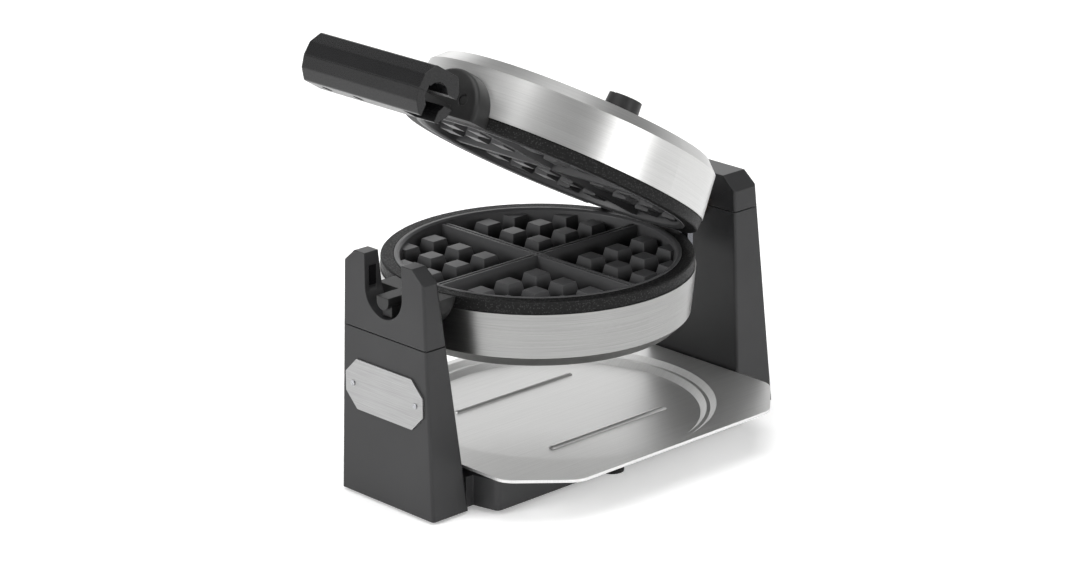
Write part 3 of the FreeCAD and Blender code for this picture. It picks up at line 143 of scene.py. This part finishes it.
screw_steel = plated_steel("zinc_plated_screw_steel", "#8c8d90", "#c4c5c8", rough=0.35)
dress(["base_cover_screws", "tower_screws", "fork_screws", "cap_screws", "lower_shield_screws",
       "lower_cover_screws", "upper_shield_screws", "lid_cover_screws", "handle_screws",
       "handle_pivot_pin", "yoke_screws", "hinge_pins", "retaining_ring", "rotation_stop"],
      screw_steel)


# Front tower: a tapering hollow column in satin dark grey ABS, with a moulded
# fork screwed on top through a steel clamp bar. Black wear strips line the
# fork's slot, which takes the inner end of the handle.
BODY_OF = {node: body for body, nodes in frame["record"]["behaviour"]["bodies"].items()
           for node in nodes}
MERGE_MM, FLAT_DEG, CORNER_DEG, SHARP_DEG = 0.001, 1.0, 28.0, 35.0
SEAM_GAP_MM, SEAM_REACH_MM = 0.7, 0.01
FORK_FOOT_MM = 115.0


def set_down(bm, name, material):
    mesh = bpy.data.meshes.new(name)
    bm.to_mesh(mesh)
    bm.free()
    mesh.materials.append(material)
    piece = bpy.data.objects.new(name, mesh)
    bpy.context.scene.collection.objects.link(piece)
    return piece


def eased(node, width_mm, material, foot_mm=None):
    # A copy of the solid's mesh with its corners eased. Where the piece stands
    # on another, its foot is drawn up to leave a fine dark seam.
    bm = bmesh.new()
    bm.from_mesh(frame["nodes"][node].data)
    bmesh.ops.remove_doubles(bm, verts=bm.verts, dist=MERGE_MM * MM)
    bmesh.ops.dissolve_limit(bm, angle_limit=math.radians(FLAT_DEG), verts=bm.verts, edges=bm.edges)
    if foot_mm is not None:
        foot = [v for v in bm.verts if abs(v.co.z - foot_mm * MM) < SEAM_REACH_MM * MM]
        bmesh.ops.translate(bm, verts=foot, vec=(0.0, 0.0, SEAM_GAP_MM * MM))
    corner = math.radians(CORNER_DEG)
    edges = [e for e in bm.edges if len(e.link_faces) == 2 and e.calc_face_angle() > corner]
    bmesh.ops.bevel(bm, geom=edges, offset=width_mm * MM, offset_type="OFFSET", affect="EDGES",
                    segments=2, profile=0.5, material=-1, clamp_overlap=True)
    piece = set_down(bm, node + "_eased", material)
    mesh = piece.data
    mesh.polygons.foreach_set("use_smooth", [True] * len(mesh.polygons))
    mesh.set_sharp_from_angle(angle=math.radians(SHARP_DEG))
    even = piece.modifiers.new("even_shading", "WEIGHTED_NORMAL")
    even.keep_sharp = True
    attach(piece, BODY_OF[node])
    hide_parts(node)


tower_grey = moulded_plastic("satin_grey_ABS_moulded", "#232324", "#2b2b2c", rough=0.36,
                             grain_mm=0.45, depth_mm=0.03, mottle_mm=80)
eased("front_tower_shell", 0.8, tower_grey)
eased("front_tower_fork", 1.2, tower_grey, foot_mm=FORK_FOOT_MM)
sheet_steel = plated_steel("galvanised_sheet_steel", "#7e7f82", "#b4b5b8", rough=0.4)
dress(["fork_clamp_bar"], sheet_steel)
black_oxide = plated_steel("black_oxide_steel", "#141415", "#262628", rough=0.45)
dress(["slot_wear_strips", "hub_screws", "leaf_screws"], black_oxide)


# Name plate: a bare plate of stainless steel with cut corners, stamped,
# brushed along its length and held to the tower by two domed rivets.
CLOUD_MM, SCRATCH_DEPTH_MM = 45, 0.02


def straight_strokes(tree, place, across, line_mm, length_mm):
    scale = [1 / ((line_mm if axis == across else length_mm) * MM) for axis in "XYZ"]
    stretch = add(tree, "ShaderNodeMapping", {"Scale": scale}, {"Vector": (place, "Object")})
    return stretch, "Vector"


def brushed_steel(name, dark, light, rough, strokes, **run):
    # Long fine scratches of a belt or brush: tone and gloss vary quickly across
    # the brushing and slowly along it. Drawn coarser than real so that it shows.
    material, tree, shader, place = start_material(name)
    lines = add(tree, "ShaderNodeTexNoise", {"Scale": 1.0, "Detail": 4.0, "Roughness": 0.65},
                {"Vector": strokes(tree, place, **run)})
    cloud = add(tree, "ShaderNodeTexNoise", {"Scale": 1 / (CLOUD_MM * MM), "Detail": 2.0},
                {"Vector": (place, "Object")})
    spare = add(tree, "ShaderNodeMath", {"operation": "MULTIPLY", 1: 0.15}, {0: (cloud, "Fac")})
    both = add(tree, "ShaderNodeMath", {"operation": "MULTIPLY_ADD", 1: 0.85},
               {0: (lines, "Fac"), 2: (spare, "Value")})
    tone = add(tree, "ShaderNodeValToRGB", {"ends": ((0.3, dark), (0.7, light))},
               {"Fac": (both, "Value")})
    gloss = add(tree, "ShaderNodeMapRange", {"To Min": rough - 0.07, "To Max": rough + 0.09},
                {"Value": (both, "Value")})
    bump = add(tree, "ShaderNodeBump", {"Strength": 0.12, "Distance": SCRATCH_DEPTH_MM * MM},
               {"Height": (lines, "Fac")})
    feed(tree, shader, {"Base Color": (tone, "Color"), "Roughness": (gloss, "Result"),
                        "Normal": (bump, "Normal")})
    shader.inputs["Metallic"].default_value = 1.0
    return material


plate_steel = brushed_steel("stainless_plate_brushed_along", "#949494", "#b0b0b0", 0.42,
                            straight_strokes, across="Z", line_mm=0.4, length_mm=30)
eased("name_plate", 0.3, plate_steel)
eased("name_plate_rivets", 0.35, screw_steel)

# Rear tower: the same moulded column with a screwed cap over the bearing, a
# pressed bronze bush for the shaft, and a rubber cord bush low at the back.
CAP_FOOT_MM = 143.0
eased("rear_tower_shell", 0.8, tower_grey)
eased("rear_tower_cap", 1.0, tower_grey, foot_mm=CAP_FOOT_MM)
dress(["cord_bush"], foot_rubber)
bush_bronze = plated_steel("sintered_bronze_bush", "#7d5a2c", "#b08646", rough=0.45)
dress(["bearing_bush"], bush_bronze)

# Drip tray: one pressing of bright stainless sheet with cut corners, a round
# dish under the pans and two pressed ribs; it slides out over the rail.
tray_steel = brushed_steel("stainless_tray_satin", "#d2d2d1", "#e2e2e1", 0.42,
                           straight_strokes, across="X", line_mm=0.5, length_mm=60)
dress(["drip_tray"], tray_steel)


# Waffle plates: cast aluminium with a sprayed black nonstick coating, one held
# in each pan by its bezel. The upper one is tilted back with the open lid.
PEEL_MM, PEEL_DEPTH_MM, WEAR_MM = 1.6, 0.05, 25
LID_TILT = 32.0
LOWER_FLOOR_MM, LOWER_TOP_MM = 125.5, 138.5
UPPER_FLOOR_MM, UPPER_TOP_MM = 172.7, 159.7
lid_up = (0.0, math.sin(math.radians(LID_TILT)), math.cos(math.radians(LID_TILT)))


def nonstick(name, up, floor_mm, top_mm):
    # A satin coat with a slight orange peel and a random mottle of tone. It also carries painted
    # shade and a painted highlight: by height alone, the tone is dark down in the channels and a
    # soft grey on the tops of the posts and ribs.
    material, tree, shader, place = start_material(name)
    peel = add(tree, "ShaderNodeTexNoise", {"Scale": 1 / (PEEL_MM * MM), "Detail": 2.0},
               {"Vector": (place, "Object")})
    cloud = add(tree, "ShaderNodeTexNoise", {"Scale": 1 / (WEAR_MM * MM), "Detail": 3.0},
                {"Vector": (place, "Object")})
    level = add(tree, "ShaderNodeVectorMath", {"operation": "DOT_PRODUCT", 1: up},
                {0: (place, "Object")})
    # Height above the channel floor: it drives painted shade in the channels and a painted
    # highlight on the post tops.
    painted_height_shade = add(tree, "ShaderNodeMapRange", {"From Min": floor_mm * MM, "From Max": top_mm * MM},
               {"Value": (level, "Value")})
    mottle_and_painted_shade = add(tree, "ShaderNodeMath", {"operation": "MULTIPLY_ADD", 1: 0.3},
               {0: (cloud, "Fac"), 2: (painted_height_shade, "Result")})
    tone = add(tree, "ShaderNodeValToRGB", {"ends": ((0.3, "#0c0c0d"), (1.0, "#4c4c4d"))},
               {"Fac": (mottle_and_painted_shade, "Value")})
    gloss = add(tree, "ShaderNodeMapRange", {"To Min": 0.34, "To Max": 0.48},
                {"Value": (cloud, "Fac")})
    edge = add(tree, "ShaderNodeBevel", {"samples": 6, "Radius": MOULD_EDGE_MM * MM}, {})
    bump = add(tree, "ShaderNodeBump", {"Strength": 0.2, "Distance": PEEL_DEPTH_MM * MM},
               {"Height": (peel, "Fac"), "Normal": (edge, "Normal")})
    feed(tree, shader, {"Base Color": (tone, "Color"), "Roughness": (gloss, "Result"),
                        "Normal": (bump, "Normal")})
    shader.inputs["Specular IOR Level"].default_value = 0.45
    return material


eased("lower_plate", 1.1, nonstick("black_nonstick_on_lower_casting", (0.0, 0.0, 1.0),
                                   LOWER_FLOOR_MM, LOWER_TOP_MM))
eased("upper_plate", 1.1, nonstick("black_nonstick_on_upper_casting", lid_up,
                                   UPPER_FLOOR_MM, UPPER_TOP_MM))


# Bezels: the black heat-proof rings between plate and cover, compression
# moulded in speckled phenolic and clamped between the two.
FLECK_MM, FLECK_DEPTH_MM = 1.3, 0.12


def speckled(name):
    # Coarse pale flecks in a dull black, each standing a little proud.
    material, tree, shader, place = start_material(name)
    flecks = add(tree, "ShaderNodeTexVoronoi", {"Scale": 1 / (FLECK_MM * MM)},
                 {"Vector": (place, "Object")})
    tone = add(tree, "ShaderNodeValToRGB", {"ends": ((0.1, "#383838"), (0.4, "#141414"))},
               {"Fac": (flecks, "Distance")})
    edge = add(tree, "ShaderNodeBevel", {"samples": 6, "Radius": MOULD_EDGE_MM * MM}, {})
    bump = add(tree, "ShaderNodeBump", {"Strength": 0.5, "Distance": FLECK_DEPTH_MM * MM},
               {"Height": (flecks, "Distance"), "Normal": (edge, "Normal")})
    gloss = add(tree, "ShaderNodeMapRange", {"To Min": 0.42, "To Max": 0.62},
                {"Value": (flecks, "Distance")})
    feed(tree, shader, {"Base Color": (tone, "Color"), "Roughness": (gloss, "Result"),
                        "Normal": (bump, "Normal")})
    shader.inputs["Specular IOR Level"].default_value = 0.15
    return material


band_black = speckled("speckled_black_phenolic")
eased("lower_bezel", 0.5, band_black)
eased("upper_bezel", 0.5, band_black)


# Covers: drawn stainless shells, brushed in rings as they spin, and screwed on behind each plate.
# The lid's rings follow its own tilted axis. The two shells are one steel in two tones: the lid's
# is painted lighter as painted light, and the lower one's is painted darker as painted shade.
PAN_R_MM = 102.5
LOWER_CENTRE_MM, LID_CENTRE_MM = (0.0, -23.91, 113.0), (0.0, -9.78, 196.78)


def turned_strokes(tree, place, centre_mm, tilt_deg, line_mm, length_mm):
    settle = add(tree, "ShaderNodeMapping",
                 {"vector_type": "TEXTURE", "Location": Vector(centre_mm) * MM,
                  "Rotation": (math.radians(-tilt_deg), 0, 0)}, {"Vector": (place, "Object")})
    apart = add(tree, "ShaderNodeSeparateXYZ", {}, {"Vector": (settle, "Vector")})
    front = add(tree, "ShaderNodeMath", {"operation": "MULTIPLY", 1: -1.0}, {0: (apart, "Y")})
    turn = add(tree, "ShaderNodeMath", {"operation": "ARCTAN2"},
               {0: (apart, "X"), 1: (front, "Value")})
    flat = add(tree, "ShaderNodeVectorMath", {"operation": "MULTIPLY", 1: (1.0, 1.0, 0.0)},
               {0: (settle, "Vector")})
    reach = add(tree, "ShaderNodeVectorMath", {"operation": "LENGTH"}, {0: (flat, "Vector")})
    rings = add(tree, "ShaderNodeCombineXYZ", {},
                {"X": (reach, "Value"), "Y": (turn, "Value"), "Z": (apart, "Z")})
    fine, slow = 1 / (line_mm * MM), PAN_R_MM / length_mm
    stretch = add(tree, "ShaderNodeMapping", {"Scale": (fine, slow, fine)},
                  {"Vector": (rings, "Vector")})
    return stretch, "Vector"


# Painted shade on the lower cover's steel and painted light on the lid's: the same steel in a
# darker and a lighter tone.
shaded_lower_steel = brushed_steel("stainless_cover_brushed_round_painted_darker", "#8a8a89", "#a4a4a3", 0.3,
                            turned_strokes, centre_mm=LOWER_CENTRE_MM, tilt_deg=0.0,
                            line_mm=0.35, length_mm=60)
lit_lid_steel = brushed_steel("stainless_lid_brushed_round_painted_lighter", "#bebebd", "#d2d2d1", 0.3,
                          turned_strokes, centre_mm=LID_CENTRE_MM, tilt_deg=LID_TILT,
                          line_mm=0.35, length_mm=60)
dress(["lower_cover"], shaded_lower_steel)
dress(["lid_cover"], lit_lid_steel)

# Heaters: a steel-sheathed ring clamped to the back of each plate under a
# pressed aluminium shield, with a fuse, all hidden inside the covers.
sheath = plated_steel("heat_toned_steel_sheath", "#5a5148", "#8a7d6c", rough=0.5)
dress(["lower_heating_element", "upper_heating_element"], sheath)
bright_sheet = plated_steel("bright_aluminium_sheet", "#b9babb", "#dedfe0", rough=0.3)
dress(["lower_heat_shield", "upper_heat_shield", "thermal_fuse"], bright_sheet)

# Hinge yoke, leaf and shaft: zinc-plated steel, screwed to the pans, that
# carries the head in the rear bearing and the lid on two short pins.
yoke_steel = plated_steel("zinc_plated_yoke_steel", "#55565a", "#7c7d82", rough=0.42)
eased("hinge_yoke", 0.6, yoke_steel)
dress(["hinge_leaf", "trunnion_shaft"], yoke_steel)

# Front trunnion and handle hub: two half drums of black heat-proof plastic,
# one screwed to each pan, that meet when the lid is shut and turn together in
# the fork. Two plugs of the same plastic are pressed in over the hub's screws.
PLUG_R, PLUG_T, PLUG_SINK, PLUG_EDGE, PLUG_SIDES = 3.5, 4.0, 0.5, 0.5, 32
PLUG_X, PLUG_Z, HUB_FRONT_Y = 14.0, 154.5, -136.11
RIM_DEG = 60
HINGE = Vector((0.0, 69.09, 147.5))
hub_black = moulded_plastic("black_heatproof_plastic", "#1a1a1a", "#262626", rough=0.45,
                            grain_mm=0.5, depth_mm=0.05, mottle_mm=30)
eased("front_trunnion", 0.6, hub_black)
eased("handle_hub", 0.6, hub_black)
open_lid = Matrix.Rotation(math.radians(-LID_TILT), 3, "X")
face_front = (open_lid @ Matrix.Rotation(math.radians(90), 3, "X")).to_4x4()
bm = bmesh.new()
for side in (-1, 1):
    disc = bmesh.ops.create_cone(bm, cap_ends=True, segments=PLUG_SIDES, radius1=PLUG_R * MM,
                                 radius2=PLUG_R * MM, depth=PLUG_T * MM)
    closed = Vector((side * PLUG_X, HUB_FRONT_Y + PLUG_SINK + PLUG_T / 2, PLUG_Z))
    centre = HINGE + open_lid @ (closed - HINGE)
    bmesh.ops.transform(bm, matrix=Matrix.Translation(centre * MM) @ face_front,
                        verts=disc["verts"])
rims = [e for e in bm.edges if e.calc_face_angle() > math.radians(RIM_DEG)]
bmesh.ops.bevel(bm, geom=rims, offset=PLUG_EDGE * MM, affect="EDGES", segments=2, profile=0.5,
                material=-1)
plugs = set_down(bm, "hub_screw_plugs", hub_black)
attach(plugs, "lid")


# Browning knob, thermostat and lamps: a ribbed black knob pushed onto the
# thermostat's spindle, with a red and a green acrylic lamp beside it on the lid.
SWIRL_MM = 3


def lens(name, dark, light):
    # Clear coloured acrylic: a deep even tint with faint swirls and a hard shine.
    material, tree, shader, place = start_material(name)
    swirl = add(tree, "ShaderNodeTexNoise", {"Scale": 1 / (SWIRL_MM * MM), "Detail": 2.0},
                {"Vector": (place, "Object")})
    tone = add(tree, "ShaderNodeValToRGB", {"ends": ((0.3, dark), (0.7, light))},
               {"Fac": (swirl, "Fac")})
    feed(tree, shader, {"Base Color": (tone, "Color")})
    shader.inputs["Roughness"].default_value = 0.12
    shader.inputs["Coat Weight"].default_value = 0.5
    return material


knob_black = moulded_plastic("black_knob_plastic", "#1c1c1c", "#282828", rough=0.4,
                             grain_mm=0.4, depth_mm=0.03, mottle_mm=20)
eased("browning_knob", 0.4, knob_black)
brown_moulding = moulded_plastic("brown_heatproof_moulding", "#3a2416", "#4d311f", rough=0.5,
                                 grain_mm=0.5, depth_mm=0.05, mottle_mm=20)
dress(["thermostat"], brown_moulding)
dress(["power_light"], lens("red_acrylic_lens", "#7a0f0f", "#a81616"))
dress(["ready_light"], lens("green_acrylic_lens", "#0f5a1c", "#1a8a2e"))

# Handle: two hollow shells of a darker, glossier grey ABS than the towers,
# split along the widest line, screwed together round a pivot pin and folded
# across the front.
handle_grey = moulded_plastic("satin_grey_handle_ABS", "#111112", "#19191a", rough=0.26,
                              grain_mm=0.45, depth_mm=0.02, mottle_mm=60)
eased("handle_upper_shell", 0.5, handle_grey)
eased("handle_lower_shell", 0.5, handle_grey)


# Stage: a wide pale floor, a soft overhead light, a key from the front, weak
# lights from the right and behind, and a pale sky. The floor is lifted to white
# for the eye and for reflections, and more so far away, and keeps the shadow.
FLOOR_HALF_M = 12
NEAR_M, FAR_M, NEAR_LIFT, FAR_LIFT = 0.5, 2.5, 0.28, 0.5
floor_material, floor_tree, floor_shader, floor_place = start_material("pale_floor")
floor_shader.inputs["Base Color"].default_value = linear("#f7f7f7")
floor_shader.inputs["Roughness"].default_value = 0.9
floor_shader.inputs["Specular IOR Level"].default_value = 0.1
floor_shader.inputs["Emission Color"].default_value = linear("#ffffff")
ray = add(floor_tree, "ShaderNodeLightPath", {}, {})
seen = add(floor_tree, "ShaderNodeMath", {"operation": "MAXIMUM"},
           {0: (ray, "Is Camera Ray"), 1: (ray, "Is Glossy Ray")})
through = add(floor_tree, "ShaderNodeMath", {"operation": "MAXIMUM"},
              {0: (seen, "Value"), 1: (ray, "Is Transmission Ray")})
away = add(floor_tree, "ShaderNodeVectorMath", {"operation": "LENGTH"},
           {0: (floor_place, "Object")})
fade = add(floor_tree, "ShaderNodeMapRange",
           {"From Min": NEAR_M, "From Max": FAR_M, "To Min": NEAR_LIFT, "To Max": FAR_LIFT},
           {"Value": (away, "Value")})
lift = add(floor_tree, "ShaderNodeMath", {"operation": "MULTIPLY"},
           {0: (through, "Value"), 1: (fade, "Result")})
feed(floor_tree, floor_shader, {"Emission Strength": (lift, "Value")})
bm = bmesh.new()
bmesh.ops.create_grid(bm, x_segments=1, y_segments=1, size=FLOOR_HALF_M)
set_down(bm, "floor", floor_material)

world = bpy.data.worlds.new("pale_studio")
bpy.context.scene.world = world
world.use_nodes = True
sky = world.node_tree
back = sky.nodes["Background"]
back.inputs["Strength"].default_value = 1.0
way = add(sky, "ShaderNodeTexCoord", {}, {})
height = add(sky, "ShaderNodeSeparateXYZ", {}, {"Vector": (way, "Generated")})
shade = add(sky, "ShaderNodeValToRGB", {"ends": ((0.1, "#ffffff"), (0.5, "#949494"))},
            {"Fac": (height, "Z")})
feed(sky, back, {"Color": (shade, "Color")})


def lamp(name, place, aim, wide, high, power):
    data = bpy.data.lights.new(name, "AREA")
    data.shape = "RECTANGLE"
    data.size, data.size_y, data.energy = wide, high, power
    made = bpy.data.objects.new(name, data)
    made.location = place
    made.rotation_euler = (Vector(aim) - Vector(place)).to_track_quat("-Z", "Y").to_euler()
    bpy.context.scene.collection.objects.link(made)


lamp("overhead", place=(0.1, -0.1, 1.7), aim=(0, 0, 0.1), wide=1.6, high=1.6, power=22)
lamp("key_left", place=(-0.5, -2.0, 1.1), aim=(0, -0.1, 0.15), wide=0.8, high=0.8, power=22)
lamp("fill_right", place=(1.9, 0.3, 0.9), aim=(0, 0, 0.15), wide=0.9, high=1.2, power=9)
lamp("back_left", place=(-1.7, 1.7, 0.9), aim=(0, 0, 0.1), wide=2.0, high=1.2, power=6)

# Camera: a long lens in front and to the right of the object, a little above
# it, at the picture's own angle and framing.
AZIMUTH, ELEVATION, ROLL = (math.radians(a) for a in (46.2, 19.2, 0.2))
FOCAL_PX, WIDE_PX, HIGH_PX = 3600.0, 1090, 570
AXIS_PX = (544.1, 297.6)
DISTANCE = 2353.7 * MM
TARGET = Vector((3.2, -21.4, 109.5)) * MM
CLIP_END_M = 40
backward = Vector((math.sin(AZIMUTH) * math.cos(ELEVATION),
                   -math.cos(AZIMUTH) * math.cos(ELEVATION), math.sin(ELEVATION)))
view = bpy.data.cameras.new("camera")
view.sensor_width = 36.0
view.lens = FOCAL_PX * view.sensor_width / WIDE_PX
view.shift_x = (WIDE_PX / 2 - AXIS_PX[0]) / WIDE_PX
view.shift_y = (AXIS_PX[1] - HIGH_PX / 2) / WIDE_PX
view.clip_end = CLIP_END_M
camera = bpy.data.objects.new("camera", view)
camera.location = TARGET + backward * DISTANCE
camera.rotation_euler = (-backward).to_track_quat("-Z", "Y").to_euler()
camera.rotation_euler.rotate_axis("Z", -ROLL)
bpy.context.scene.collection.objects.link(camera)
bpy.context.scene.camera = camera
bpy.context.scene.view_settings.view_transform = "Standard"
